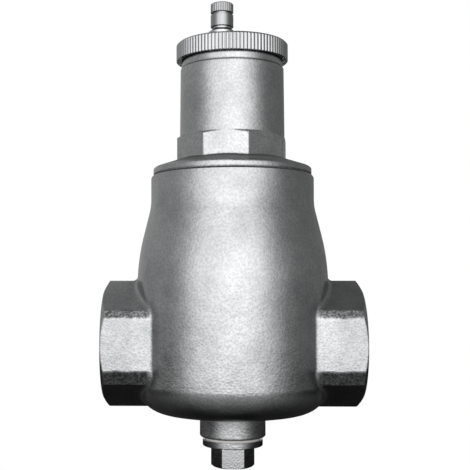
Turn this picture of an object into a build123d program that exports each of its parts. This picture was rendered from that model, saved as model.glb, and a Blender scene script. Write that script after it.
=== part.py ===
from build123d import *
import os
from math import cos, degrees, radians, sin, tan

# In-line air separator with a float-operated vent. Millimetres, +Z up.
# The origin is where the pipe's axis (X) crosses the axis of the column (Z), and -Y is the front.

# Threads: half the difference between major and minor diameter is this share of the pitch.
# Hexagons and the octagon are chamfered at the same angle.
whitworth_depth = 0.640327
metric_depth = 0.613435
nut_chamfer_angle = 30.0

# Ports on the pipe run
face_to_face = 122.4
port_thread_r = 20.955
port_thread_end = 20.5
port_mouth_chamfer = 1.0
passage_r = 18.0
port_hex_af = 53.7
port_hex_rounding = 5.4
port_rim_r = 26.4
port_fillet = 2.5

# Shell of the separator body
wall = 4.0
shell_r = 45.8
dome_edge_z = -30.95
dome_rounding = 14.0
shoulder_z = 39.8
shoulder_rounding = 100.0
neck_r = 39.3
neck_z = 65.9
neck_rounding = 24.0
rim_z = 80.9
rim_rounding = 2.0
floor_z = -29.3

# Drain under the shell
boss_r = 15.75
boss_top_z = -34.9
boss_end_z = -44.2
boss_chamfer = 0.6
drain_thread_r = 10.478
drain_pitch = 1.814
drain_thread_length = 8.7
drain_seal_r = 13.2
drain_seal_bore = 10.7
drain_seal_height = 1.3
plug_collar_r = 14.4
plug_collar_height = 3.0
plug_collar_chamfer = 0.3
plug_hex_af = 18.0
plug_hex_height = 10.0
plug_hex_chamfer = 1.2
plug_lead_in = 0.8

# Screwed joint between the separator body and the vent body
vent_thread_r = 35.0
vent_pitch = 2.0
gasket_height = 0.4
gasket_r = 38.0
gasket_bore = 35.2
spigot_end_z = 64.3
spigot_bore = 30.0
spigot_step_z = 77.5
spigot_chamfer = 0.8

# Vent body
flange_r = 38.2
flange_side = 2.7
flange_rounding = 1.0
slope_start_r = 37.2
slope_start_rise = 3.4
slope_end_r = 25.0
slope_end_rise = 7.4
octagon_af = 50.6
octagon_top_z = 99.6
octagon_turn = -7.85
column_r = 25.35
column_top_r = 25.05
column_top_z = 132.4
band_r = 24.6
band_z = 133.3
chamber_r = 21.0
ledge_bore = 18.5
ledge_height = 4.5

# Knurled cover
cover_r = 27.1
cover_z = 136.7
cover_height = 8.3
cover_bevel = 0.85
cover_roof = 2.2
cover_thread_r = 24.0
cover_pitch = 1.5
cover_gap = 0.25
cover_knurls = 96
knurl_depth = 0.34
knurl_width = 1.3
cover_seal_height = 1.0
seal_margin = 0.15

# Nozzle and its cap, beside the column's axis
nozzle_x = -4.84
nozzle_foot_r = 6.5
nozzle_foot_rise = 6.4
nozzle_neck_r = 4.6
nozzle_neck_rise = 7.8
nozzle_flare_r = 0.6
nozzle_thread_rise = 8.75
nozzle_top_z = 161.0
nozzle_shank_r = 3.45
nozzle_shank_fit = 0.05
nozzle_rivet_r = 4.4
nozzle_rivet_height = 1.2
nozzle_bore = 1.1
cap_thread_r = 3.5
cap_pitch = 1.0
cap_r = 5.55
cap_z = 153.9
cap_skirt_top_z = 159.6
cap_groove_r = 4.5
cap_head_z = 160.9
cap_top_z = 165.3
cap_seal_height = 1.0
cap_seal_fit = 0.15
cap_chamfer = 0.4
cap_knurls = 32
cap_knurl_depth = 0.2
cap_knurl_width = 0.8

# Float and valve gear
float_travel = 6.0
float_r = 18.0
float_height = 31.0
float_rounding = 2.0
float_seat_gap = 0.3
float_bore_fit = 0.1
float_bore_depth = 25.0
guide_pin_r = 2.0
guide_pin_height = 18.0
guide_height = 1.6
guide_fit = 0.2
guide_ring_width = 2.2
guide_hub_r = 3.6
guide_spoke = 2.6
guide_spokes = 3
pivot_x = -12.0
pivot_drop = 10.0
link_x = 12.0
link_rise = 8.1
lever_height = 1.2
lever_width = 6.0
tongue_width = 3.0
tongue_length = 6.0
eye_r = 2.0
pin_r = 1.0
pin_fit = 0.05
pin_head_r = 1.7
pin_head_height = 0.6
bracket_plate = 1.4
bracket_ear = 1.2
bracket_ear_gap = 0.3
bracket_ear_width = 5.0
bracket_end_x = 2.0
link_plate = 1.0
link_width = 7.0
link_foot = 5.0
link_play = 0.35
link_frame = 1.2
stake_r = 1.2
stake_rise = 0.4
stem_r = 1.2
stem_hole_play = 0.5
stem_collar_r = 2.2
stem_collar_height = 0.9
stem_play = 0.35
stem_tail = 1.6
cup_r = 2.7
cup_wall_height = 0.6
cup_floor = 0.8
tip_r = 2.2
tip_height = 1.5
tip_margin = 0.1
needle_r = 0.6
needle_fit = 0.05
needle_rise = 3.0

# Mesh cartridge: three meshes and a core tube, on the same axis, in two frames
mesh_windows = {"mesh_outer": 16, "mesh_middle": 12, "mesh_inner": 8}
mesh_sheet = 0.6
mesh_row_count = 7
mesh_bar = 2.0
core_r = 3.2
core_bore = 2.0
frame_height = 3.0
frame_groove = 1.0
frame_groove_fit = 0.05
frame_lip = 1.2
frame_spokes = 6
frame_spoke = 2.0
frame_gap = 0.3
frame_fit = 0.7

# Places that follow from the sizes above
port_end = face_to_face / 2
shell_inner_r = shell_r - wall
vent_core_r = vent_thread_r - metric_depth * vent_pitch
cover_core_r = cover_thread_r - metric_depth * cover_pitch
cap_core_r = cap_thread_r - metric_depth * cap_pitch
drain_core_r = drain_thread_r - whitworth_depth * drain_pitch
flange_z = rim_z + gasket_height
cover_top_z = cover_z + cover_height
roof_z = cover_top_z - cover_roof
vent_rim_z = roof_z - cover_seal_height
seal_top_z = boss_end_z
plug_z = seal_top_z - drain_seal_height
collar_end_z = plug_z - plug_collar_height
plug_end_z = collar_end_z - plug_hex_height
plug_top_z = seal_top_z + drain_thread_length

stem_arm = nozzle_x - pivot_x
link_arm = link_x - pivot_x
lever_swing = float_travel / link_arm
lever_tilt = degrees(lever_swing / 2)
stem_lift = lever_swing * stem_arm
pivot_z = roof_z - pivot_drop
lever_stem_z = pivot_z - stem_arm * tan(radians(lever_tilt))
lever_link_z = pivot_z - link_arm * tan(radians(lever_tilt))
seat_z = roof_z - bracket_plate - nozzle_rivet_height
tip_top_z = seat_z - stem_lift - tip_margin
tip_z = tip_top_z - tip_height
float_top_z = lever_link_z - link_rise
float_z = float_top_z - float_height
ledge_z = float_z - float_seat_gap - guide_height
throat_z = ledge_z - ledge_height

floor_r = shell_inner_r - (dome_rounding - wall)
frame_r = floor_r - frame_fit
mesh_outer_r = frame_r - frame_lip
mesh_spacing = (mesh_outer_r - core_r) / len(mesh_windows)
mesh_radii = {
    "mesh_outer": mesh_outer_r,
    "mesh_middle": mesh_outer_r - mesh_spacing,
    "mesh_inner": mesh_outer_r - 2 * mesh_spacing,
}
mesh_z = floor_z + frame_height - frame_groove
cartridge_top_z = spigot_end_z - frame_gap
mesh_top_z = cartridge_top_z - frame_height + frame_groove

nozzle_plane = Plane(origin=(nozzle_x, 0, 0), x_dir=(1, 0, 0), z_dir=(0, -1, 0))
nozzle_axis = Axis((nozzle_x, 0, 0), (0, 0, 1))
lever_plane = Plane(
    origin=(pivot_x, 0, pivot_z),
    x_dir=(cos(radians(lever_tilt)), 0, -sin(radians(lever_tilt))),
    z_dir=(sin(radians(lever_tilt)), 0, cos(radians(lever_tilt))),
)

# Port bar: one hexagonal bar through the shell, its ends chamfered as a nut's are
port_cone_r = port_hex_af / 2 / cos(radians(30))
port_setback = (port_cone_r - port_rim_r) * tan(radians(nut_chamfer_angle))
with BuildPart() as port_bar:
    with BuildSketch(Plane.YZ):
        RegularPolygon(port_hex_af / 2, 6, major_radius=False, rotation=30)
        fillet(vertices(), port_hex_rounding)
    extrude(amount=port_end, both=True)
    with BuildSketch(Plane.XZ):
        with BuildLine():
            Polyline(
                (-port_end, 0),
                (-port_end, port_rim_r),
                (-port_end + port_setback, port_cone_r),
                (port_end - port_setback, port_cone_r),
                (port_end, port_rim_r),
                (port_end, 0),
                close=True,
            )
        make_face()
    revolve(axis=Axis.X, mode=Mode.INTERSECT)

# Separator body: turned shell with the port bar, then the chamber and the bores.
# The shell and the chamber are drawn on YZ, so their seams lie between the ports.
with BuildPart() as separator_body:
    with BuildSketch(Plane.YZ):
        with BuildLine():
            FilletPolyline(
                (0, boss_end_z),
                (boss_r - boss_chamfer, boss_end_z),
                (boss_r, boss_end_z + boss_chamfer),
                (boss_r, boss_top_z),
                (shell_r, dome_edge_z),
                (shell_r, shoulder_z),
                (neck_r, neck_z),
                (neck_r, rim_z),
                (0, rim_z),
                radius=[0, 0, 0, 0, dome_rounding, shoulder_rounding, neck_rounding, rim_rounding, 0],
                close=True,
            )
        make_face()
    revolve(axis=Axis.Z)
    add(port_bar.part)
    fillet(separator_body.edges(Select.NEW), port_fillet)
    with BuildSketch(Plane.YZ):
        with BuildLine():
            FilletPolyline(
                (0, boss_end_z),
                (drain_thread_r, boss_end_z),
                (drain_thread_r, floor_z),
                (shell_inner_r, floor_z),
                (shell_inner_r, shoulder_z),
                (vent_thread_r, neck_z),
                (vent_thread_r, rim_z),
                (0, rim_z),
                radius=[0, 0, 0, dome_rounding - wall, shoulder_rounding - wall, 0, 0, 0],
                close=True,
            )
        make_face()
    revolve(axis=Axis.Z, mode=Mode.SUBTRACT)
    with BuildSketch(Plane.XZ):
        with BuildLine():
            Polyline(
                (0, 0),
                (0, passage_r),
                (port_end - port_thread_end, passage_r),
                (port_end - port_thread_end, port_thread_r),
                (port_end - port_mouth_chamfer, port_thread_r),
                (port_end, port_thread_r + port_mouth_chamfer),
                (port_end, 0),
                close=True,
            )
        make_face()
        mirror(about=Plane.YZ)
    revolve(axis=Axis.X, mode=Mode.SUBTRACT)

# Flat gasket in the seam between the separator body and the vent body
with BuildPart() as body_gasket:
    with BuildSketch(Plane.XY.offset(rim_z)):
        Circle(gasket_r)
        Circle(gasket_bore, mode=Mode.SUBTRACT)
    extrude(amount=gasket_height)

# Vent body: spigot, flange, octagon for the wrench, float housing
octagon_corner_r = octagon_af / 2 / cos(radians(22.5))
octagon_setback = (octagon_corner_r - octagon_af / 2) * tan(radians(nut_chamfer_angle))
with BuildPart() as octagon:
    with BuildSketch(Plane.XY.offset(flange_z + slope_start_rise)):
        RegularPolygon(octagon_af / 2, 8, major_radius=False, rotation=octagon_turn - 90 - 22.5)
    extrude(amount=octagon_top_z - flange_z - slope_start_rise)
    with BuildSketch(Plane.XZ):
        with BuildLine():
            Polyline(
                (0, flange_z),
                (octagon_corner_r, flange_z),
                (octagon_corner_r, octagon_top_z - octagon_setback),
                (octagon_af / 2, octagon_top_z),
                (0, octagon_top_z),
                close=True,
            )
        make_face()
    revolve(axis=Axis.Z, mode=Mode.INTERSECT)

with BuildPart() as vent_body:
    with BuildSketch(Plane.XZ):
        with BuildLine():
            FilletPolyline(
                (0, spigot_end_z),
                (vent_core_r - spigot_chamfer, spigot_end_z),
                (vent_core_r, spigot_end_z + spigot_chamfer),
                (vent_core_r, flange_z),
                (flange_r, flange_z),
                (flange_r, flange_z + flange_side),
                (slope_start_r, flange_z + slope_start_rise),
                (slope_end_r, flange_z + slope_end_rise),
                (column_r, octagon_top_z),
                (column_top_r, column_top_z),
                (band_r, band_z),
                (band_r, cover_z - cover_gap),
                (cover_core_r, cover_z - cover_gap),
                (cover_core_r, vent_rim_z),
                (0, vent_rim_z),
                radius=[0, 0, 0, 0, 0, flange_rounding, flange_rounding, 0, 0, 0, 0, 0, 0, 0, 0],
                close=True,
            )
        make_face()
    revolve(axis=Axis.Z)
    add(octagon.part)
    with BuildSketch(Plane.XZ):
        with BuildLine():
            Polyline(
                (0, spigot_end_z),
                (spigot_bore, spigot_end_z),
                (spigot_bore, spigot_step_z),
                (ledge_bore, throat_z),
                (ledge_bore, ledge_z),
                (chamber_r, ledge_z),
                (chamber_r, vent_rim_z),
                (0, vent_rim_z),
                close=True,
            )
        make_face()
    revolve(axis=Axis.Z, mode=Mode.SUBTRACT)

# Cover seal on the vent body's rim
with BuildPart() as cover_seal:
    with BuildSketch(Plane.XY.offset(vent_rim_z)):
        Circle(cover_core_r - seal_margin)
        Circle(chamber_r + seal_margin, mode=Mode.SUBTRACT)
    extrude(amount=cover_seal_height)

# Knurled cover: a screw cap with a hole for the nozzle's shank
with BuildPart() as top_cover:
    with BuildSketch(Plane.XY.offset(cover_z)):
        Circle(cover_r)
        with PolarLocations(cover_r, cover_knurls):
            Polygon(
                (-knurl_depth, 0),
                (0, knurl_width / 2),
                (knurl_depth, 0),
                (0, -knurl_width / 2),
                align=None,
                mode=Mode.SUBTRACT,
            )
    extrude(amount=cover_height)
    with BuildSketch(Plane.XZ):
        with BuildLine():
            Polyline(
                (0, cover_z),
                (cover_r, cover_z),
                (cover_r, cover_top_z - cover_bevel),
                (cover_r - cover_bevel, cover_top_z),
                (0, cover_top_z),
                close=True,
            )
        make_face()
    revolve(axis=Axis.Z, mode=Mode.INTERSECT)
    with BuildSketch(Plane.XY.offset(cover_z)):
        Circle(cover_thread_r)
    extrude(amount=cover_height - cover_roof, mode=Mode.SUBTRACT)
    with BuildSketch(Plane.XY.offset(roof_z)):
        with Locations((nozzle_x, 0)):
            Circle(nozzle_shank_r + nozzle_shank_fit)
    extrude(amount=cover_roof, mode=Mode.SUBTRACT)

# Nozzle: flared foot and neck above the cover, riveted shank and valve seat below it
neck_z_low = cover_top_z + nozzle_neck_rise
thread_z_low = cover_top_z + nozzle_thread_rise
with BuildPart() as vent_nozzle:
    with BuildSketch(nozzle_plane):
        with BuildLine():
            FilletPolyline(
                (nozzle_bore, seat_z),
                (nozzle_rivet_r, seat_z),
                (nozzle_rivet_r, seat_z + nozzle_rivet_height),
                (nozzle_shank_r, seat_z + nozzle_rivet_height),
                (nozzle_shank_r, cover_top_z),
                (nozzle_foot_r, cover_top_z),
                (nozzle_foot_r, cover_top_z + nozzle_foot_rise),
                (nozzle_neck_r, neck_z_low),
                (nozzle_neck_r, thread_z_low),
                (cap_core_r, thread_z_low),
                (cap_core_r, nozzle_top_z),
                (nozzle_bore, nozzle_top_z),
                radius=[0, 0, 0, 0, 0, 0, 0, nozzle_flare_r, 0, 0, 0, 0],
                close=True,
            )
        make_face()
    revolve(axis=nozzle_axis)

# Cap of the nozzle, with the rubber disc that shuts the nozzle by hand
with BuildPart() as cap_seal:
    with BuildSketch(Plane.XY.offset(nozzle_top_z)):
        with Locations((nozzle_x, 0)):
            Circle(cap_thread_r - cap_seal_fit)
    extrude(amount=cap_seal_height)

with BuildPart() as vent_cap:
    with BuildSketch(nozzle_plane):
        with BuildLine():
            Polyline(
                (0, cap_z),
                (cap_r, cap_z),
                (cap_r, cap_skirt_top_z),
                (cap_groove_r, cap_skirt_top_z),
                (cap_groove_r, cap_head_z),
                (cap_r, cap_head_z),
                (cap_r, cap_top_z - cap_chamfer),
                (cap_r - cap_chamfer, cap_top_z),
                (0, cap_top_z),
                close=True,
            )
        make_face()
    revolve(axis=nozzle_axis)
    with BuildSketch(Plane.XY.offset(cap_head_z)):
        with Locations((nozzle_x, 0)):
            with PolarLocations(cap_r, cap_knurls):
                Polygon(
                    (-cap_knurl_depth, 0),
                    (0, cap_knurl_width / 2),
                    (cap_knurl_depth, 0),
                    (0, -cap_knurl_width / 2),
                    align=None,
                )
    extrude(amount=cap_top_z - cap_head_z, mode=Mode.SUBTRACT)
    with BuildSketch(Plane.XY.offset(cap_z)):
        with Locations((nozzle_x, 0)):
            Circle(cap_thread_r)
    extrude(amount=nozzle_top_z + cap_seal_height - cap_z, mode=Mode.SUBTRACT)

# Drain gasket and plug
with BuildPart() as drain_seal:
    with BuildSketch(Plane.XY.offset(plug_z)):
        Circle(drain_seal_r)
        Circle(drain_seal_bore, mode=Mode.SUBTRACT)
    extrude(amount=drain_seal_height)

plug_corner_r = plug_hex_af / 2 / cos(radians(30))
with BuildPart() as plug_hexagon:
    with BuildSketch(Plane.XY.offset(plug_end_z)):
        RegularPolygon(plug_hex_af / 2, 6, major_radius=False)
    extrude(amount=plug_hex_height)
    with BuildSketch(Plane.XZ):
        with BuildLine():
            Polyline(
                (0, plug_end_z),
                (plug_corner_r - plug_hex_chamfer, plug_end_z),
                (plug_corner_r, plug_end_z + plug_hex_chamfer * tan(radians(nut_chamfer_angle))),
                (plug_corner_r, collar_end_z),
                (0, collar_end_z),
                close=True,
            )
        make_face()
    revolve(axis=Axis.Z, mode=Mode.INTERSECT)

with BuildPart() as drain_plug:
    with BuildSketch(Plane.XZ):
        with BuildLine():
            Polyline(
                (0, collar_end_z),
                (plug_collar_r - plug_collar_chamfer, collar_end_z),
                (plug_collar_r, collar_end_z + plug_collar_chamfer),
                (plug_collar_r, plug_z),
                (drain_core_r, plug_z),
                (drain_core_r, plug_top_z - plug_lead_in),
                (drain_core_r - plug_lead_in, plug_top_z),
                (0, plug_top_z),
                close=True,
            )
        make_face()
    revolve(axis=Axis.Z)
    add(plug_hexagon.part)

# Float guide: a spider on the ledge of the vent body, with a central pin
guide_r = chamber_r - guide_fit
with BuildPart() as float_guide:
    with BuildSketch(Plane.XY.offset(ledge_z)):
        Circle(guide_r)
        Circle(guide_r - guide_ring_width, mode=Mode.SUBTRACT)
        with PolarLocations(0, guide_spokes):
            Rectangle(guide_r - guide_ring_width / 2, guide_spoke, align=(Align.MIN, Align.CENTER))
        Circle(guide_hub_r)
    extrude(amount=guide_height)
    with BuildSketch(Plane.XY.offset(ledge_z + guide_height)):
        Circle(guide_pin_r)
    extrude(amount=guide_pin_height)
    chamfer(float_guide.faces().sort_by(Axis.Z)[-1].edges(), guide_pin_r / 3)

# Float, with the staking stud that holds its link
stake_x = link_x - link_foot / 2 - link_plate / 2
with BuildPart() as float_body:
    with BuildSketch(Plane.XY.offset(float_z)):
        Circle(float_r)
    extrude(amount=float_height)
    fillet(float_body.edges(), float_rounding)
    with BuildSketch(Plane.XY.offset(float_z)):
        Circle(guide_pin_r + float_bore_fit)
    extrude(amount=float_bore_depth, mode=Mode.SUBTRACT)
    with BuildSketch(Plane.XY.offset(float_top_z)):
        with Locations((stake_x, 0)):
            Circle(stake_r)
    extrude(amount=link_plate + stake_rise)

# Link: a bent strip with a foot on the float and a window round the lever's tongue
window_half = lever_height / 2 + link_play
with BuildPart() as float_link:
    with BuildSketch(Plane.YZ.offset(link_x - link_plate / 2)):
        with Locations((0, float_top_z)):
            Rectangle(
                link_width,
                lever_link_z + window_half + link_frame - float_top_z,
                align=(Align.CENTER, Align.MIN),
            )
        with Locations((0, lever_link_z)):
            Rectangle(tongue_width + 2 * link_play, 2 * window_half, mode=Mode.SUBTRACT)
    extrude(amount=link_plate)
    with BuildSketch(Plane.XY.offset(float_top_z)):
        with Locations((link_x + link_plate / 2, 0)):
            Rectangle(link_foot + link_plate, link_width, align=(Align.MAX, Align.CENTER))
    extrude(amount=link_plate)
    with BuildSketch(Plane.XY.offset(float_top_z)):
        with Locations((stake_x, 0)):
            Circle(stake_r + pin_fit)
    extrude(amount=link_plate, mode=Mode.SUBTRACT)

# Lever, drawn in its rest position with the float down: eye, hole for the stem, tongue
with BuildPart() as valve_lever:
    with BuildSketch(lever_plane.offset(-lever_height / 2)):
        Rectangle(link_arm - tongue_length / 2, lever_width, align=(Align.MIN, Align.CENTER))
        Rectangle(link_arm + tongue_length / 2, tongue_width, align=(Align.MIN, Align.CENTER))
    extrude(amount=lever_height)
    with BuildSketch(Plane.XZ):
        with Locations((pivot_x, pivot_z)):
            Circle(eye_r)
    extrude(amount=lever_width / 2, both=True)
    with BuildSketch(Plane.XZ):
        with Locations((pivot_x, pivot_z)):
            Circle(pin_r + pin_fit)
    extrude(amount=lever_width / 2, both=True, mode=Mode.SUBTRACT)
    with BuildSketch(Plane.XY.offset(lever_stem_z - lever_height)):
        with Locations((nozzle_x, 0)):
            Circle(stem_r + stem_hole_play)
    extrude(amount=2 * lever_height, mode=Mode.SUBTRACT)

# Bracket under the cover's roof: plate held by the nozzle's shank, and two ears for the pin
ear_y = lever_width / 2 + bracket_ear_gap
ear_outer_y = ear_y + bracket_ear
ear_x = pivot_x - bracket_ear_width / 2
with BuildPart() as lever_bracket:
    with BuildSketch(Plane.XY.offset(roof_z - bracket_plate)):
        with Locations((ear_x, 0)):
            Rectangle(bracket_end_x - ear_x, 2 * ear_outer_y, align=(Align.MIN, Align.CENTER))
        with Locations((nozzle_x, 0)):
            Circle(nozzle_shank_r + nozzle_shank_fit, mode=Mode.SUBTRACT)
    extrude(amount=bracket_plate)
    with BuildSketch(Plane.XZ):
        with Locations((pivot_x, pivot_z)):
            Circle(bracket_ear_width / 2)
            Rectangle(bracket_ear_width, pivot_drop, align=(Align.CENTER, Align.MIN))
            Circle(pin_r + pin_fit, mode=Mode.SUBTRACT)
    extrude(amount=ear_outer_y, both=True)
    with BuildSketch(Plane.XZ):
        with Locations((pivot_x, roof_z - bracket_plate)):
            Rectangle(2 * bracket_ear_width, 2 * pivot_drop, align=(Align.CENTER, Align.MAX))
    extrude(amount=ear_y, both=True, mode=Mode.SUBTRACT)

# Lever pin, with a head outside each ear
with BuildPart() as lever_pin:
    with BuildSketch(Plane.XZ):
        with Locations((pivot_x, pivot_z)):
            Circle(pin_r)
    extrude(amount=ear_outer_y, both=True)
    for side in (1, -1):
        with BuildSketch(Plane.XZ.offset(side * ear_outer_y)):
            with Locations((pivot_x, pivot_z)):
                Circle(pin_head_r)
        extrude(amount=side * pin_head_height)

# Stem: needle and cup at the top, two collars that hold the lever
stem_low_collar_z = lever_stem_z - lever_height / 2 - stem_play
stem_high_collar_z = lever_stem_z + lever_height / 2 + stem_play
cup_z = tip_z - cup_floor
with BuildPart() as valve_stem:
    with BuildSketch(nozzle_plane):
        with BuildLine():
            Polyline(
                (0, stem_low_collar_z - stem_collar_height - stem_tail),
                (stem_r, stem_low_collar_z - stem_collar_height - stem_tail),
                (stem_r, stem_low_collar_z - stem_collar_height),
                (stem_collar_r, stem_low_collar_z - stem_collar_height),
                (stem_collar_r, stem_low_collar_z),
                (stem_r, stem_low_collar_z),
                (stem_r, stem_high_collar_z),
                (stem_collar_r, stem_high_collar_z),
                (stem_collar_r, stem_high_collar_z + stem_collar_height),
                (stem_r, stem_high_collar_z + stem_collar_height),
                (stem_r, cup_z),
                (cup_r, cup_z),
                (cup_r, tip_z + cup_wall_height),
                (tip_r, tip_z + cup_wall_height),
                (tip_r, tip_z),
                (needle_r, tip_z),
                (needle_r, tip_top_z + needle_rise),
                (0, tip_top_z + needle_rise),
                close=True,
            )
        make_face()
    revolve(axis=nozzle_axis)

with BuildPart() as valve_tip:
    with BuildSketch(Plane.XY.offset(tip_z)):
        with Locations((nozzle_x, 0)):
            Circle(tip_r)
            Circle(needle_r + needle_fit, mode=Mode.SUBTRACT)
    extrude(amount=tip_height)

# Meshes: thin tubes with rows of windows between bars
mesh_length = mesh_top_z - mesh_z
row_pitch = (mesh_length - mesh_bar) / mesh_row_count
mesh_parts = {}
for name, mesh_r in mesh_radii.items():
    count = mesh_windows[name]
    with BuildPart() as mesh_tube:
        with BuildSketch(Plane.XY.offset(mesh_z)):
            Circle(mesh_r)
            Circle(mesh_r - mesh_sheet, mode=Mode.SUBTRACT)
        extrude(amount=mesh_length)
        for row in range(mesh_row_count):
            with BuildSketch(Plane.XY.offset(mesh_z + mesh_bar + row * row_pitch)):
                with PolarLocations(mesh_r, count):
                    Rectangle(4 * mesh_sheet, 2 * (mesh_r * sin(radians(180 / count)) - mesh_bar / 2))
            extrude(amount=row_pitch - mesh_bar, mode=Mode.SUBTRACT)
    mesh_parts[name] = mesh_tube

with BuildPart() as mesh_core:
    with BuildSketch(Plane.XY.offset(mesh_z)):
        Circle(core_r)
        Circle(core_bore, mode=Mode.SUBTRACT)
    extrude(amount=mesh_length)

# Frames: a grooved ring for each tube, joined by spokes
tubes = [(mesh_r, mesh_r - mesh_sheet) for mesh_r in mesh_radii.values()]
tubes.append((core_r, core_bore))
frame_parts = {}
for name, frame_z, groove_z in (
    ("mesh_bottom_frame", floor_z, mesh_z),
    ("mesh_top_frame", cartridge_top_z - frame_height, cartridge_top_z - frame_height),
):
    with BuildPart() as mesh_frame:
        with BuildSketch(Plane.XY.offset(frame_z)):
            for outer_r, inner_r in tubes:
                Circle(outer_r + frame_lip)
                Circle(inner_r - frame_lip, mode=Mode.SUBTRACT)
            with PolarLocations(0, frame_spokes):
                Rectangle(frame_r - frame_lip, frame_spoke, align=(Align.MIN, Align.CENTER))
            Circle(core_bore - frame_lip, mode=Mode.SUBTRACT)
        extrude(amount=frame_height)
        with BuildSketch(Plane.XY.offset(groove_z)):
            for outer_r, inner_r in tubes:
                Circle(outer_r + frame_groove_fit)
                Circle(inner_r - frame_groove_fit, mode=Mode.SUBTRACT)
        extrude(amount=frame_groove, mode=Mode.SUBTRACT)
    frame_parts[name] = mesh_frame

pieces = {
    "separator_body": separator_body,
    "body_gasket": body_gasket,
    "vent_body": vent_body,
    "cover_seal": cover_seal,
    "top_cover": top_cover,
    "vent_nozzle": vent_nozzle,
    "cap_seal": cap_seal,
    "vent_cap": vent_cap,
    "drain_seal": drain_seal,
    "drain_plug": drain_plug,
    "float_guide": float_guide,
    "float": float_body,
    "float_link": float_link,
    "valve_lever": valve_lever,
    "lever_bracket": lever_bracket,
    "lever_pin": lever_pin,
    "valve_stem": valve_stem,
    "valve_tip": valve_tip,
    "mesh_core": mesh_core,
    **mesh_parts,
    **frame_parts,
}
os.makedirs("parts", exist_ok=True)
for name, piece in pieces.items():
    piece.part.label = name
    export_step(piece.part, f"parts/{name}.step")
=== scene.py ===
import math

import bpy
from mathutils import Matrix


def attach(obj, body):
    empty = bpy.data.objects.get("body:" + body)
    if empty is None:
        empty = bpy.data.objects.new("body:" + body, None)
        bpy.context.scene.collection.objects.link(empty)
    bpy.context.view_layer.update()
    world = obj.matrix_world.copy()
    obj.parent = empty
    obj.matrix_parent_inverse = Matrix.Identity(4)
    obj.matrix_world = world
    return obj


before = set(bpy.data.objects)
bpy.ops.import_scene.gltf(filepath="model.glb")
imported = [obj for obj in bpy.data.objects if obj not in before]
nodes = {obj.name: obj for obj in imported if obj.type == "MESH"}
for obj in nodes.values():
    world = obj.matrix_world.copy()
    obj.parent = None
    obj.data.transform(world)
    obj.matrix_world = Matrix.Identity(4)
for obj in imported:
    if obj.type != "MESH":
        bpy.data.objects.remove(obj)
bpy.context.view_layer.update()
mm = 0.001
noiseLow, noiseHigh = 0.3, 0.7  # most of a noise texture's values lie between these
cornerSamples, edgeSamples = 8, 4
nozzleAxis = -4.84  # mm, the nozzle and its cap stand left of the column's axis


def linearColour(hexCode):
    channels = [int(hexCode[i:i + 2], 16) / 255 for i in (1, 3, 5)]
    return [c / 12.92 if c <= 0.04045 else ((c + 0.055) / 1.055) ** 2.4 for c in channels] + [1.0]


def patternScale(size):  # of a texture whose grain is this many mm wide
    return 1 / (size * mm)


def connect(tree, node, inputs):
    for socket, value in inputs.items():
        if isinstance(value, bpy.types.NodeSocket):
            tree.links.new(value, node.inputs[socket])
        else:
            node.inputs[socket].default_value = value


def addNode(tree, kind, inputs=None, **settings):
    node = tree.nodes.new("ShaderNode" + kind)
    for setting, value in settings.items():
        setattr(node, setting, value)
    connect(tree, node, inputs or {})
    return node


def newMaterial(name):
    material = bpy.data.materials.new(name)
    material.use_nodes = True
    tree = material.node_tree
    return material, tree, tree.nodes["Principled BSDF"]


def dress(material, *names):
    for name in names:
        nodes[name].material_slots[0].material = material


# Painted shade: ambient occlusion darkens the colour in deep corners, and more of it on ledges that look up.
# The reach is in mm. The openness runs from the deepest corner to open metal, and the shade is what is left of
# the metal's tone in the deepest.
bodyCorners = {"reach": 14.0, "openness": (0.2, 0.85), "shade": 0.12, "ledge": 0.1, "ownOnly": True}
ventCorners = {"reach": 7.0, "openness": (0.1, 0.5), "shade": 0.12, "ledge": 0.8, "ownOnly": True}
turnedCorners = {"reach": 1.8, "openness": (0.1, 0.5), "shade": 0.75, "ledge": 0.5, "ownOnly": False}
ledgeTilt = (0.9, 0.94)  # how level a face is where the painted ledge shade begins, and where it is strongest


def cornerShade(tree, corner):
    hollow = addNode(tree, "AmbientOcclusion", {"Distance": corner["reach"] * mm},
                     samples=cornerSamples, only_local=corner["ownOnly"])
    facing = addNode(tree, "SeparateXYZ", {0: addNode(tree, "NewGeometry").outputs["True Normal"]})
    ledge = addNode(tree, "MapRange", {
        "Value": facing.outputs["Z"], "From Min": ledgeTilt[0], "From Max": ledgeTilt[1],
        "To Min": 0.0, "To Max": corner["ledge"]})
    exposed = addNode(tree, "Math", {0: hollow.outputs["AO"], 1: ledge.outputs[0]}, operation="SUBTRACT")
    deepest, clean = corner["openness"]
    return addNode(tree, "MapRange", {
        "Value": exposed.outputs[0], "From Min": deepest, "From Max": clean,
        "To Min": corner["shade"], "To Max": 1.0}).outputs[0]


# The wrench flats of the ports meet in edges that were cut flat. Lengths in mm.
flatEdges = {
    "upper": 29.7,  # from the pipe's axis to the cut, above the axis and below it
    "lower": 28.95,
    "blend": 0.45,
    "wander": 0.7,  # how far the border of the cut strays
    "between": 60,  # degrees from one edge to the next
    "outsideOf": (37.0, 40.0),  # from the column's axis, where the ports stand clear of the body
    "endwise": (0.5, 0.95),  # faces that look along the pipe more than this aren't cut
    "torn": 1.1,  # tears and pits in the cut
    "tornRange": (0.4, 0.65),
    "hole": 0.5,  # tone in a pit and on the ridge beside it, times the plate's own
    "shine": 1.45,
}


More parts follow.
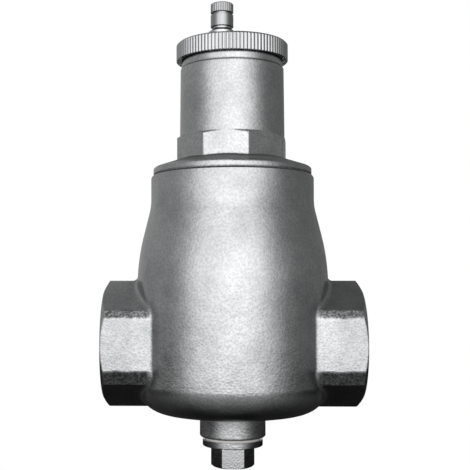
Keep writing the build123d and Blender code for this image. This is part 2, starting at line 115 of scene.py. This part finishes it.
def cutFlatEdges(tree, place, noise, normal):  # gives the changed normal and the tone of the torn cut
    axes = addNode(tree, "SeparateXYZ", {0: place})
    forward = addNode(tree, "Math", {0: axes.outputs["Y"], 1: -1.0}, operation="MULTIPLY")
    angle = addNode(tree, "Math", {0: axes.outputs["Z"], 1: forward.outputs[0]}, operation="ARCTAN2")
    between = math.radians(flatEdges["between"])
    sector = addNode(tree, "Math", {0: angle.outputs[0], 1: between}, operation="DIVIDE")
    sector = addNode(tree, "Math", {0: sector.outputs[0]}, operation="FLOOR")
    edge = addNode(tree, "Math", {
        0: sector.outputs[0], 1: between, 2: between / 2}, operation="MULTIPLY_ADD")
    offEdge = addNode(tree, "Math", {0: angle.outputs[0], 1: edge.outputs[0]}, operation="SUBTRACT")

    # The cut looks straight out at the edge
    across = addNode(tree, "Math", {0: edge.outputs[0]}, operation="COSINE")
    back = addNode(tree, "Math", {0: across.outputs[0], 1: -1.0}, operation="MULTIPLY")
    upward = addNode(tree, "Math", {0: edge.outputs[0]}, operation="SINE")
    cutNormal = addNode(tree, "CombineXYZ", {"Y": back.outputs[0], "Z": upward.outputs[0]})
    cutNormal = addNode(tree, "VectorTransform", {0: cutNormal.outputs[0]},
                        vector_type="NORMAL", convert_from="OBJECT", convert_to="WORLD")

    # It reaches as far as the metal stands out beyond it
    section = addNode(tree, "CombineXYZ", {"Y": axes.outputs["Y"], "Z": axes.outputs["Z"]})
    radius = addNode(tree, "VectorMath", {0: section.outputs[0]}, operation="LENGTH")
    nearness = addNode(tree, "Math", {0: offEdge.outputs[0]}, operation="COSINE")
    proud = addNode(tree, "Math", {0: radius.outputs["Value"], 1: nearness.outputs[0]}, operation="MULTIPLY")
    above = addNode(tree, "Math", {0: axes.outputs["Z"], 1: 0.0}, operation="GREATER_THAN")
    limit = addNode(tree, "MapRange", {
        "Value": above.outputs[0], "To Min": flatEdges["lower"] * mm, "To Max": flatEdges["upper"] * mm})
    wander = addNode(tree, "MapRange", {
        "Value": noise, "To Min": -flatEdges["wander"] / 2 * mm, "To Max": flatEdges["wander"] / 2 * mm})
    proud = addNode(tree, "Math", {0: proud.outputs[0], 1: wander.outputs[0]}, operation="ADD")
    proud = addNode(tree, "Math", {0: proud.outputs[0], 1: limit.outputs[0]}, operation="SUBTRACT")
    cut = addNode(tree, "MapRange", {
        "Value": proud.outputs[0],
        "From Min": -flatEdges["blend"] * mm, "From Max": flatEdges["blend"] * mm},
        interpolation_type="SMOOTHSTEP")
    sideways = addNode(tree, "Math", {0: axes.outputs["X"]}, operation="ABSOLUTE")
    inner, outer = flatEdges["outsideOf"]
    onPort = addNode(tree, "MapRange", {
        "Value": sideways.outputs[0], "From Min": inner * mm, "From Max": outer * mm})
    facing = addNode(tree, "SeparateXYZ", {0: addNode(tree, "NewGeometry").outputs["True Normal"]})
    endwise = addNode(tree, "Math", {0: facing.outputs["X"]}, operation="ABSOLUTE")
    slanting, square = flatEdges["endwise"]
    onSide = addNode(tree, "MapRange", {
        "Value": endwise.outputs[0], "From Min": slanting, "From Max": square, "To Min": 1.0, "To Max": 0.0})
    cut = addNode(tree, "Math", {0: cut.outputs[0], 1: onPort.outputs[0]}, operation="MULTIPLY")
    cut = addNode(tree, "Math", {0: cut.outputs[0], 1: onSide.outputs[0]}, operation="MULTIPLY")
    change = addNode(tree, "VectorMath", {0: cutNormal.outputs[0], 1: normal}, operation="SUBTRACT")
    shaped = addNode(tree, "VectorMath", {
        0: change.outputs[0], 1: cut.outputs[0], 2: normal}, operation="MULTIPLY_ADD")

    torn = addNode(tree, "TexNoise", {
        "Vector": place, "Scale": patternScale(flatEdges["torn"]), "Detail": 2.0})
    pit, ridge = flatEdges["tornRange"]
    holes = addNode(tree, "MapRange", {
        "Value": torn.outputs["Fac"], "From Min": pit, "From Max": ridge,
        "To Min": flatEdges["hole"], "To Max": flatEdges["shine"]})
    tone = addNode(tree, "MapRange", {"Value": cut.outputs[0], "To Min": 1.0, "To Max": holes.outputs[0]})
    return shaped.outputs[0], tone.outputs[0]


# The body's neck was turned straight almost up to the seam. Heights and radius in mm.
neckRim = {"from": (78.3, 78.9), "to": (80.3, 80.6), "outsideOf": 36.0}


def straightRim(tree, height, roundColumn, columnRadius, normal):
    radial = addNode(tree, "VectorTransform", {0: roundColumn},
                     vector_type="NORMAL", convert_from="OBJECT", convert_to="WORLD")
    low, full = neckRim["from"]
    fading, top = neckRim["to"]
    above = addNode(tree, "MapRange", {"Value": height, "From Min": low * mm, "From Max": full * mm})
    below = addNode(tree, "MapRange", {
        "Value": height, "From Min": fading * mm, "From Max": top * mm, "To Min": 1.0, "To Max": 0.0})
    outside = addNode(tree, "Math", {
        0: columnRadius, 1: neckRim["outsideOf"] * mm}, operation="GREATER_THAN")
    rim = addNode(tree, "Math", {0: above.outputs[0], 1: below.outputs[0]}, operation="MULTIPLY")
    rim = addNode(tree, "Math", {0: rim.outputs[0], 1: outside.outputs[0]}, operation="MULTIPLY")
    change = addNode(tree, "VectorMath", {0: radial.outputs[0], 1: normal}, operation="SUBTRACT")
    return addNode(tree, "VectorMath", {
        0: change.outputs[0], 1: rim.outputs[0], 2: normal}, operation="MULTIPLY_ADD").outputs[0]


# Nickel plate over shot-blasted brass: an even, silky grey with a pebbled grain of about 1 mm. Lengths in mm.
shotBlast = {
    "colour": "#BDBEBF",
    "dullColour": "#A5A7A8",
    "patch": 14.0,  # clouds of duller plate
    "patchRange": (0.25, 0.65),
    "roughness": (0.22, 0.27),
    "waviness": 5.0,  # the forging's own unevenness under the blasting
    "wavinessDepth": 0.1,
    "dent": 0.95,  # one dent of the shot, drawn a little coarser than it is so that it shows
    "dentDepth": 0.034,
    "dentRange": (0.1, 0.6),  # from the bottom of a dent to its rim
    "pitShade": (0.85, 1.08),  # the bottoms of the dents are duller than their rims
    "fineGrain": 0.6,
    "fineDepth": 0.04,
    "edgeRadius": 1.0,
    "portShade": 0.88,  # the wrench flats of the ports are a little duller
    "portFrom": (45.0, 49.0),
    "portFaceFrom": 61.1,  # the faced ends of the ports
    "bandFrom": 132.5,  # the turned band at the top of the vent body
    "toolMark": 0.25,
    "toolDepth": 0.003,
    "turnedRoughness": 0.2,
    "paintedShadeRoughness": 0.8,
    "fullyMetallicFrom": 0.7,  # where the painted shade leaves this much of the tone, the surface is fully metallic; deeper shade turns it non-metallic
}


def shotBlastedNickel(name, corners):
    material, tree, shader = newMaterial(name)
    place = addNode(tree, "TexCoord").outputs["Object"]
    axes = addNode(tree, "SeparateXYZ", {0: place})
    waves = addNode(tree, "TexNoise", {
        "Vector": place, "Scale": patternScale(shotBlast["waviness"]), "Detail": 2.0})
    dents = addNode(tree, "TexVoronoi", {
        "Vector": place, "Scale": patternScale(shotBlast["dent"])}, feature="SMOOTH_F1")
    fine = addNode(tree, "TexNoise", {
        "Vector": place, "Scale": patternScale(shotBlast["fineGrain"]), "Detail": 1.0})
    patches = addNode(tree, "TexNoise", {
        "Vector": place, "Scale": patternScale(shotBlast["patch"]), "Detail": 2.0})

    # Tool marks of the turned faces: round the column on the band, and round the pipe on the ports' ends
    sideways = addNode(tree, "Math", {0: axes.outputs["X"]}, operation="ABSOLUTE")
    band = addNode(tree, "Math", {
        0: axes.outputs["Z"], 1: shotBlast["bandFrom"] * mm}, operation="GREATER_THAN")
    portFace = addNode(tree, "Math", {
        0: sideways.outputs[0], 1: shotBlast["portFaceFrom"] * mm}, operation="GREATER_THAN")
    machined = addNode(tree, "Math", {0: band.outputs[0], 1: portFace.outputs[0]}, operation="MAXIMUM")
    asBlasted = addNode(tree, "Math", {0: 1.0, 1: machined.outputs[0]}, operation="SUBTRACT")
    roundPort = addNode(tree, "CombineXYZ", {"Y": axes.outputs["Y"], "Z": axes.outputs["Z"]})
    portRadius = addNode(tree, "VectorMath", {0: roundPort.outputs[0]}, operation="LENGTH")
    roundColumn = addNode(tree, "CombineXYZ", {"X": axes.outputs["X"], "Y": axes.outputs["Y"]})
    columnRadius = addNode(tree, "VectorMath", {0: roundColumn.outputs[0]}, operation="LENGTH")
    bandPlace = addNode(tree, "CombineXYZ", {"X": columnRadius.outputs["Value"], "Z": axes.outputs["Z"]})
    facePlace = addNode(tree, "CombineXYZ", {"X": portRadius.outputs["Value"], "Z": axes.outputs["X"]})
    change = addNode(tree, "VectorMath", {
        0: bandPlace.outputs[0], 1: facePlace.outputs[0]}, operation="SUBTRACT")
    toolPlace = addNode(tree, "VectorMath", {
        0: change.outputs[0], 1: band.outputs[0], 2: facePlace.outputs[0]}, operation="MULTIPLY_ADD")
    toolMarks = addNode(tree, "TexNoise", {
        "Vector": toolPlace.outputs[0], "Scale": patternScale(shotBlast["toolMark"]), "Detail": 1.0})

    rounded = addNode(tree, "Bevel", {"Radius": shotBlast["edgeRadius"] * mm}, samples=edgeSamples)
    shaped, tornTone = cutFlatEdges(tree, place, waves.outputs["Fac"], rounded.outputs[0])
    shaped = straightRim(
        tree, axes.outputs["Z"], roundColumn.outputs[0], columnRadius.outputs["Value"], shaped)
    for share, depth, relief in (
            (asBlasted, "wavinessDepth", waves.outputs["Fac"]),
            (asBlasted, "dentDepth", dents.outputs["Distance"]),
            (asBlasted, "fineDepth", fine.outputs["Fac"]),
            (machined, "toolDepth", toolMarks.outputs["Fac"])):
        shaped = addNode(tree, "Bump", {
            "Strength": share.outputs[0], "Distance": shotBlast[depth] * mm,
            "Height": relief, "Normal": shaped}).outputs[0]

    tint = addNode(tree, "ValToRGB", {"Fac": patches.outputs["Fac"]})
    for element, position, colour in zip(
            tint.color_ramp.elements, shotBlast["patchRange"], ("dullColour", "colour")):
        element.position = position
        element.color = linearColour(shotBlast[colour])
    dull, bright = shotBlast["pitShade"]
    bottom, rim = shotBlast["dentRange"]
    pits = addNode(tree, "MapRange", {
        "Value": dents.outputs["Distance"], "From Min": bottom, "From Max": rim,
        "To Min": dull, "To Max": bright})
    near, far = shotBlast["portFrom"]
    flats = addNode(tree, "MapRange", {
        "Value": sideways.outputs[0], "From Min": near * mm, "From Max": far * mm,
        "To Min": 1.0, "To Max": shotBlast["portShade"]})
    shade = addNode(tree, "Math", {0: pits.outputs[0], 1: flats.outputs[0]}, operation="MULTIPLY")
    shade = addNode(tree, "Math", {0: shade.outputs[0], 1: tornTone}, operation="MULTIPLY")
    pitted = addNode(tree, "VectorMath", {
        0: tint.outputs["Color"], "Scale": shade.outputs[0]}, operation="SCALE")
    # Painted shade in corners and on ledges darkens the colour, and where it is deep the surface also turns
    # non-metallic and rough so that it reflects less
    paintedShade = cornerShade(tree, corners)
    shadedPlate = addNode(tree, "VectorMath", {0: pitted.outputs[0], "Scale": paintedShade}, operation="SCALE")
    metal = addNode(tree, "MapRange", {
        "Value": paintedShade, "From Min": corners["shade"], "From Max": shotBlast["fullyMetallicFrom"]})

    smooth, rough = shotBlast["roughness"]
    blasted = addNode(tree, "MapRange", {
        "Value": patches.outputs["Fac"], "From Min": noiseLow, "From Max": noiseHigh,
        "To Min": smooth, "To Max": rough})
    clean = addNode(tree, "MapRange", {
        "Value": machined.outputs[0], "To Min": blasted.outputs[0], "To Max": shotBlast["turnedRoughness"]})
    matt = addNode(tree, "MapRange", {
        "Value": metal.outputs[0], "To Min": shotBlast["paintedShadeRoughness"], "To Max": clean.outputs[0]})
    connect(tree, shader, {
        "Base Color": shadedPlate.outputs[0], "Metallic": metal.outputs[0], "Roughness": matt.outputs[0],
        "Normal": shaped})
    return material


# Nickel plate over turned brass: brighter than the body, with fine rings left by the lathe. Lengths in mm.
turned = {
    "colour": "#BBBCBD",
    "footColour": "#CCCDCE",  # the nozzle's flare, which is wiped clean
    "handledColour": "#A8A9AA",  # the cap, which is duller from handling
    "plugColour": "#B6B7B8",
    "roughness": (0.12, 0.2),
    "smear": 6.0,
    "toolMark": 0.22,
    "toolDepth": 0.004,
    "blasted": 0.07,  # depth of the blasted grain that the plug keeps
    "blastedGrain": 0.9,
    "edgeRadius": 0.35,
}


def turnedNickel(name, colour, axisX=0.0, blasted=0.0):
    material, tree, shader = newMaterial(name)
    place = addNode(tree, "TexCoord").outputs["Object"]
    centred = addNode(tree, "VectorMath", {0: place, 1: (axisX * mm, 0, 0)}, operation="SUBTRACT")
    axes = addNode(tree, "SeparateXYZ", {0: centred.outputs[0]})
    flat = addNode(tree, "CombineXYZ", {"X": axes.outputs["X"], "Y": axes.outputs["Y"]})
    radius = addNode(tree, "VectorMath", {0: flat.outputs[0]}, operation="LENGTH")
    lathe = addNode(tree, "CombineXYZ", {"X": radius.outputs["Value"], "Z": axes.outputs["Z"]})
    rings = addNode(tree, "TexNoise", {
        "Vector": lathe.outputs[0], "Scale": patternScale(turned["toolMark"]), "Detail": 1.0})
    smears = addNode(tree, "TexNoise", {
        "Vector": place, "Scale": patternScale(turned["smear"]), "Detail": 2.0})
    smooth, rough = turned["roughness"]
    roughness = addNode(tree, "MapRange", {
        "Value": smears.outputs["Fac"], "From Min": noiseLow, "From Max": noiseHigh,
        "To Min": smooth, "To Max": rough})
    rounded = addNode(tree, "Bevel", {"Radius": turned["edgeRadius"] * mm}, samples=edgeSamples)
    grain = addNode(tree, "TexNoise", {
        "Vector": place, "Scale": patternScale(turned["blastedGrain"]), "Detail": 2.0})
    blast = addNode(tree, "Bump", {
        "Distance": blasted * mm, "Height": grain.outputs["Fac"], "Normal": rounded.outputs[0]})
    bump = addNode(tree, "Bump", {
        "Distance": turned["toolDepth"] * mm, "Height": rings.outputs["Fac"], "Normal": blast.outputs[0]})
    # Painted shade from ambient occlusion darkens the plate in its corners and on ledges
    shadedPlate = addNode(tree, "VectorMath", {
        0: linearColour(turned[colour])[:3], "Scale": cornerShade(tree, turnedCorners)}, operation="SCALE")
    connect(tree, shader, {
        "Base Color": shadedPlate.outputs[0], "Metallic": 1.0, "Roughness": roughness.outputs[0],
        "Normal": bump.outputs[0]})
    return material


# The other materials are the same right through: a tone that clouds from dark to light, and a fine relief. The
# cloud and the grain are in mm, the cloud along x, y and z where a tool drew it out. The relief is its strength
# and its depth in mm, and it follows the cloud where no grain is given.
plainLooks = {
    # EPDM rubber, moulded: dull black with a faint bloom
    "epdm_rubber": {
        "dark": "#1B1B1C", "light": "#262627", "roughness": 0.72, "cloud": 3.0, "detail": 3.0,
        "grain": 0.3, "relief": (0.6, 0.01)},
    # The same rubber where its rim lies open, with pale dust on it
    "dusty_epdm_rubber": {
        "dark": "#262627", "light": "#737475", "roughness": 0.72, "cloud": 3.0, "detail": 3.0,
        "grain": 0.3, "relief": (0.6, 0.01)},
    # PTFE, skived from a rod: chalky white with a waxy sheen
    "skived_ptfe": {
        "dark": "#ECEAE5", "light": "#F6F5F2", "roughness": 0.5, "cloud": 2.5, "detail": 3.0,
        "relief": (0.4, 0.02)},
    # Polypropylene, moulded: milky white, soft sheen, light flow marks
    "moulded_polypropylene": {
        "dark": "#D6D3C6", "light": "#E3E1D6", "roughness": 0.42, "cloud": 9.0, "detail": 2.0, "flow": 0.8,
        "grain": 0.4, "relief": (0.5, 0.01)},
    # Glass-filled nylon, moulded: charcoal with the same sheen, duller and with closer marks
    "moulded_glass_filled_nylon": {
        "dark": "#232325", "light": "#2C2C2F", "roughness": 0.5, "cloud": 4.0, "detail": 2.0, "flow": 0.8,
        "grain": 0.4, "relief": (0.5, 0.01)},
    # Brass, turned and left bare: warm yellow with a fine grain along the piece
    "turned_brass": {
        "dark": "#C9A963", "light": "#D9BD7A", "roughness": 0.3, "metallic": 1.0,
        "cloud": (0.3, 0.3, 8.0), "detail": 2.0, "relief": (0.5, 0.006)},
    # Stainless steel, rolled: cool grey with a fine grain along the sheet
    "rolled_stainless_steel": {
        "dark": "#B7B6B8", "light": "#CBCACB", "roughness": 0.3, "metallic": 1.0,
        "cloud": (4.0, 0.25, 0.25), "detail": 2.0, "relief": (0.5, 0.006)},
}


def plainMaterial(name):
    look = plainLooks[name]
    material, tree, shader = newMaterial(name)
    place = addNode(tree, "TexCoord").outputs["Object"]
    cloudPlace, cloudScale = place, 1.0
    if isinstance(look["cloud"], tuple):
        drawnOut = [patternScale(size) for size in look["cloud"]]
        cloudPlace = addNode(tree, "VectorMath", {0: place, 1: drawnOut}, operation="MULTIPLY").outputs[0]
    else:
        cloudScale = patternScale(look["cloud"])
    cloud = addNode(tree, "TexNoise", {
        "Vector": cloudPlace, "Scale": cloudScale, "Detail": look["detail"],
        "Distortion": look.get("flow", 0.0)})
    grain = cloud
    if "grain" in look:
        grain = addNode(tree, "TexNoise", {"Vector": place, "Scale": patternScale(look["grain"])})
    tint = addNode(tree, "ValToRGB", {"Fac": cloud.outputs["Fac"]})
    for element, tone in zip(tint.color_ramp.elements, ("dark", "light")):
        element.color = linearColour(look[tone])
    strength, depth = look["relief"]
    bump = addNode(tree, "Bump", {
        "Strength": strength, "Distance": depth * mm, "Height": grain.outputs["Fac"]})
    connect(tree, shader, {
        "Base Color": tint.outputs["Color"], "Metallic": look.get("metallic", 0.0),
        "Roughness": look["roughness"], "Normal": bump.outputs[0]})
    return material


bodyNickel = shotBlastedNickel("shot_blasted_nickel_plate", bodyCorners)
ventNickel = shotBlastedNickel("shot_blasted_nickel_plate_vent", ventCorners)
lathedNickel = turnedNickel("turned_nickel_plate", "colour")
plugNickel = turnedNickel("turned_nickel_plate_plug", "plugColour", blasted=turned["blasted"])
nozzleNickel = turnedNickel("turned_nickel_plate_nozzle", "footColour", axisX=nozzleAxis)
capNickel = turnedNickel("turned_nickel_plate_cap", "handledColour", axisX=nozzleAxis)
dress(bodyNickel, "separator_body")
dress(ventNickel, "vent_body")
dress(lathedNickel, "top_cover")
dress(plugNickel, "drain_plug")
dress(nozzleNickel, "vent_nozzle")
dress(capNickel, "vent_cap")
dress(plainMaterial("dusty_epdm_rubber"), "body_gasket")
dress(plainMaterial("epdm_rubber"), "cover_seal", "cap_seal", "valve_tip")
dress(plainMaterial("skived_ptfe"), "drain_seal")
dress(plainMaterial("moulded_polypropylene"), "float")
dress(plainMaterial("moulded_glass_filled_nylon"), "mesh_bottom_frame", "mesh_top_frame")
dress(plainMaterial("turned_brass"), "float_guide", "valve_stem")
dress(plainMaterial("rolled_stainless_steel"), "float_link", "valve_lever", "lever_bracket", "lever_pin",
      "mesh_core", "mesh_outer", "mesh_middle", "mesh_inner")
print("materials made")

# Screw threads, in mm. A male thread stands on its core, a female one in its bore. The ends are along its axis.
# The shift is in turns: a female thread starts half a turn from its partner, so that the ridges interlock.
onBody = {"body": "separator", "slot": "shot_blasted_nickel", "look": bodyNickel}
onVent = {"body": "vent", "slot": "shot_blasted_nickel", "look": ventNickel}
onCover = {"body": "cover", "slot": "turned_nickel", "look": lathedNickel}
onNozzle = {"body": "cover", "slot": "turned_nickel", "look": nozzleNickel, "x": nozzleAxis}
onCap = {"body": "cap", "slot": "turned_nickel", "look": capNickel, "x": nozzleAxis}
onPlug = {"body": "drain", "slot": "turned_nickel", "look": plugNickel}
pipeThread = {"wall": 20.955, "crest": 19.6, "pitch": 2.309, "along": "x"}
threads = {
    "inlet_port_thread": {**onBody, **pipeThread, "ends": (-60.2, -41.9)},
    "outlet_port_thread": {**onBody, **pipeThread, "ends": (41.9, 60.2)},
    "neck_thread": {**onBody, "wall": 35.0, "crest": 33.95, "pitch": 2.0, "ends": (66.6, 80.2), "shift": 0.5},
    "spigot_thread": {**onVent, "wall": 33.773, "crest": 34.82, "pitch": 2.0, "ends": (65.4, 80.4)},
    "vent_rim_thread": {**onVent, "wall": 23.08, "crest": 23.85, "pitch": 1.5, "ends": (136.9, 141.3)},
    "cover_thread": {
        **onCover, "wall": 24.0, "crest": 23.2, "pitch": 1.5, "ends": (137.1, 142.3), "shift": 0.5},
    "nozzle_thread": {**onNozzle, "wall": 2.887, "crest": 3.42, "pitch": 1.0, "ends": (153.9, 160.5)},
    "cap_thread": {
        **onCap, "wall": 3.5, "crest": 2.98, "pitch": 1.0, "ends": (154.3, 160.5), "shift": 0.5},
    "drain_boss_thread": {
        **onBody, "wall": 10.478, "crest": 9.47, "pitch": 1.814, "ends": (-43.7, -30.3), "shift": 0.5},
    "drain_plug_thread": {**onPlug, "wall": 9.316, "crest": 10.33, "pitch": 1.814, "ends": (-44.4, -36.6)},
}
ridgeShape = {
    "stepsPerTurn": 60,
    "root": 0.4,  # half widths of the ridge at its foot and its crest, as shares of the pitch
    "crest": 0.07,
    "sunk": 0.12,  # mm that the ridge's foot goes into the metal that carries it
    "runOut": 0.35,  # turns over which it rises at either end, from these shares of its height and width
    "leastHeight": 0.02,
    "leastWidth": 0.1,
}


def threadRidge(name, spec):
    low, high = spec["ends"]
    pitch, wall, crest = spec["pitch"], spec["wall"], spec["crest"]
    sunk = wall + (ridgeShape["sunk"] if crest < wall else -ridgeShape["sunk"])
    rootShare, crestShare = ridgeShape["root"], ridgeShape["crest"]
    steps = int((high - low) / pitch * ridgeShape["stepsPerTurn"])
    runOut = ridgeShape["runOut"] * ridgeShape["stepsPerTurn"]
    verts, faces = [], []
    for step in range(steps + 1):
        travel = low + (high - low) * step / steps
        angle = 2 * math.pi * (travel / pitch + spec.get("shift", 0))
        fade = min(1, step / runOut, (steps - step) / runOut)
        top = sunk + (crest - sunk) * max(fade, ridgeShape["leastHeight"])
        for radius, offset in ((sunk, -rootShare), (top, -crestShare), (top, crestShare), (sunk, rootShare)):
            along = travel + offset * pitch * max(fade, ridgeShape["leastWidth"])
            a, b = radius * math.cos(angle), radius * math.sin(angle)
            if spec.get("along") == "x":
                verts.append((along * mm, a * mm, b * mm))
            else:
                verts.append(((spec.get("x", 0) + a) * mm, b * mm, along * mm))
        if step:
            base = 4 * (step - 1)
            for k in range(4):
                faces.append((base + k, base + (k + 1) % 4, base + 4 + (k + 1) % 4, base + 4 + k))
    faces += [(0, 1, 2, 3), (4 * steps + 3, 4 * steps + 2, 4 * steps + 1, 4 * steps)]
    mesh = bpy.data.meshes.new(name)
    mesh.from_pydata(verts, [], faces)
    mesh.validate()
    ridge = bpy.data.objects.new(name, mesh)
    bpy.context.scene.collection.objects.link(ridge)
    mesh.materials.append(spec["look"])
    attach(ridge, spec["body"])


for name, spec in threads.items():
    threadRidge(name, spec)
print("threads cut")

# Photograph's camera, found from the outline, looking slightly up. Distance from the column's axis and
# height above the pipe's axis in m, angles in degrees, lens and sensor in mm.
lens = {"distance": 0.4462, "height": 0.0292, "pitch": 2.34, "azimuth": -1.12, "turn": 1.48, "focal": 70.56,
        "sensor": 36, "shift": (0.0946, 0.0213), "nearest": 0.01}
camera = bpy.data.objects.new("camera", bpy.data.cameras.new("camera"))
bpy.context.scene.collection.objects.link(camera)
azimuth = math.radians(lens["azimuth"])
camera.location = (lens["distance"] * math.sin(azimuth), -lens["distance"] * math.cos(azimuth), lens["height"])
camera.rotation_euler = (math.radians(90 + lens["pitch"]), 0, math.radians(lens["turn"]))
camera.data.lens = lens["focal"]
camera.data.sensor_width = lens["sensor"]
camera.data.clip_start = lens["nearest"]
camera.data.shift_x, camera.data.shift_y = lens["shift"]
bpy.context.scene.camera = camera

# Studio: a wide softbox in front, grey walls that are darker on the right, and a pale table below. Each light
# is a profile round the object (degrees, 0 in front, plus to the right) times one by height (degrees).
studio = {
    "softbox": [(-80, 0), (-62, 0.27), (-42, 1.16), (-15, 1.64), (10, 1.73), (28, 1.4), (44, 0.78), (62, 0.17),
                (80, 0)],
    "softboxHeight": [(-22, 0), (-16, 0.18), (-10.5, 0.4), (-7.3, 1), (6, 1), (14, 0.93), (20, 0.88),
                      (34, 0.86), (41, 0.38), (53, 0.15), (64, 0)],
    "walls": [(-180, 0.41), (-100, 0.39), (-50, 0.41), (0, 0.37), (50, 0.26), (70, 0.22), (100, 0.2),
              (150, 0.19), (180, 0.16)],
    "wallsHeight": [(-7.5, 0), (-5, 1), (45, 0.95), (57, 0.72), (90, 0.7)],
    "table": [(-180, 0.06), (-150, 0.11), (-120, 0.2), (-96, 0.31), (-78, 0.43), (-62, 0.65), (-50, 0.86),
              (-30, 1.25), (30, 1.25), (50, 0.89), (62, 0.61), (78, 0.39), (92, 0.28), (110, 0.19), (135, 0.1),
              (180, 0.04)],
    "tableHeight": [(-90, 0.04), (-75, 0.045), (-64, 0.065), (-52, 0.12), (-44, 0.175), (-35, 0.23),
                    (-28, 0.28), (-20, 0.25), (-14, 0.08), (-9, 0)],
    "lights": ("softbox", "walls", "table"),
    "darkest": 0.004,
    "backdrop": (0, 1, 0.02),  # the way to the white backdrop
    "backdropReach": 12,  # degrees round it where the backdrop shows in the metal
}
world = bpy.data.worlds.new("studio")
bpy.context.scene.world = world
world.use_nodes = True
tree = world.node_tree
tree.nodes.clear()
direction = addNode(tree, "TexCoord").outputs["Generated"]
axes = addNode(tree, "SeparateXYZ", {0: direction})
forward = addNode(tree, "Math", {0: axes.outputs["Y"], 1: -1.0}, operation="MULTIPLY")
azimuthAngle = addNode(tree, "Math", {0: axes.outputs["X"], 1: forward.outputs[0]}, operation="ARCTAN2")
heightAngle = addNode(tree, "Math", {0: axes.outputs["Z"]}, operation="ARCSINE")


def brightnessProfile(angle, half, stops):  # the profile runs this many degrees to either side
    place = addNode(tree, "MapRange", {
        "Value": angle, "From Min": -math.radians(half), "From Max": math.radians(half)})
    ramp = addNode(tree, "ValToRGB", {"Fac": place.outputs[0]})
    elements = ramp.color_ramp.elements
    while len(elements) < len(stops):
        elements.new(0.5)
    for element, (degree, shade) in zip(elements, stops):
        element.position = (degree + half) / (2 * half)
        element.color = (shade, shade, shade, 1)
    return ramp.outputs["Color"]


total = [studio["darkest"]] * 3
for name in studio["lights"]:
    around = brightnessProfile(azimuthAngle.outputs[0], 180, studio[name])
    upwards = brightnessProfile(heightAngle.outputs[0], 90, studio[name + "Height"])
    total = addNode(tree, "VectorMath", {
        0: around, 1: upwards, 2: total}, operation="MULTIPLY_ADD").outputs[0]
plain = addNode(tree, "Background", {"Color": total})
white = addNode(tree, "Background", {"Color": (1, 1, 1, 1)})
rays = addNode(tree, "LightPath")
backwards = addNode(tree, "VectorMath", {0: direction, 1: studio["backdrop"]}, operation="DOT_PRODUCT")
inBackdrop = addNode(tree, "Math", {
    0: backwards.outputs["Value"], 1: math.cos(math.radians(studio["backdropReach"]))},
    operation="GREATER_THAN")
mirrored = addNode(tree, "Math", {
    0: rays.outputs["Is Glossy Ray"], 1: rays.outputs["Is Transmission Ray"]}, operation="MAXIMUM")
inMetal = addNode(tree, "Math", {0: mirrored.outputs[0], 1: inBackdrop.outputs[0]}, operation="MULTIPLY")
shown = addNode(tree, "Math", {0: rays.outputs["Is Camera Ray"], 1: inMetal.outputs[0]}, operation="MAXIMUM")
mix = addNode(tree, "MixShader", {0: shown.outputs[0], 1: plain.outputs[0], 2: white.outputs[0]})
addNode(tree, "OutputWorld", {"Surface": mix.outputs[0]})

bpy.context.scene.view_settings.view_transform = "Standard"
print("studio set")
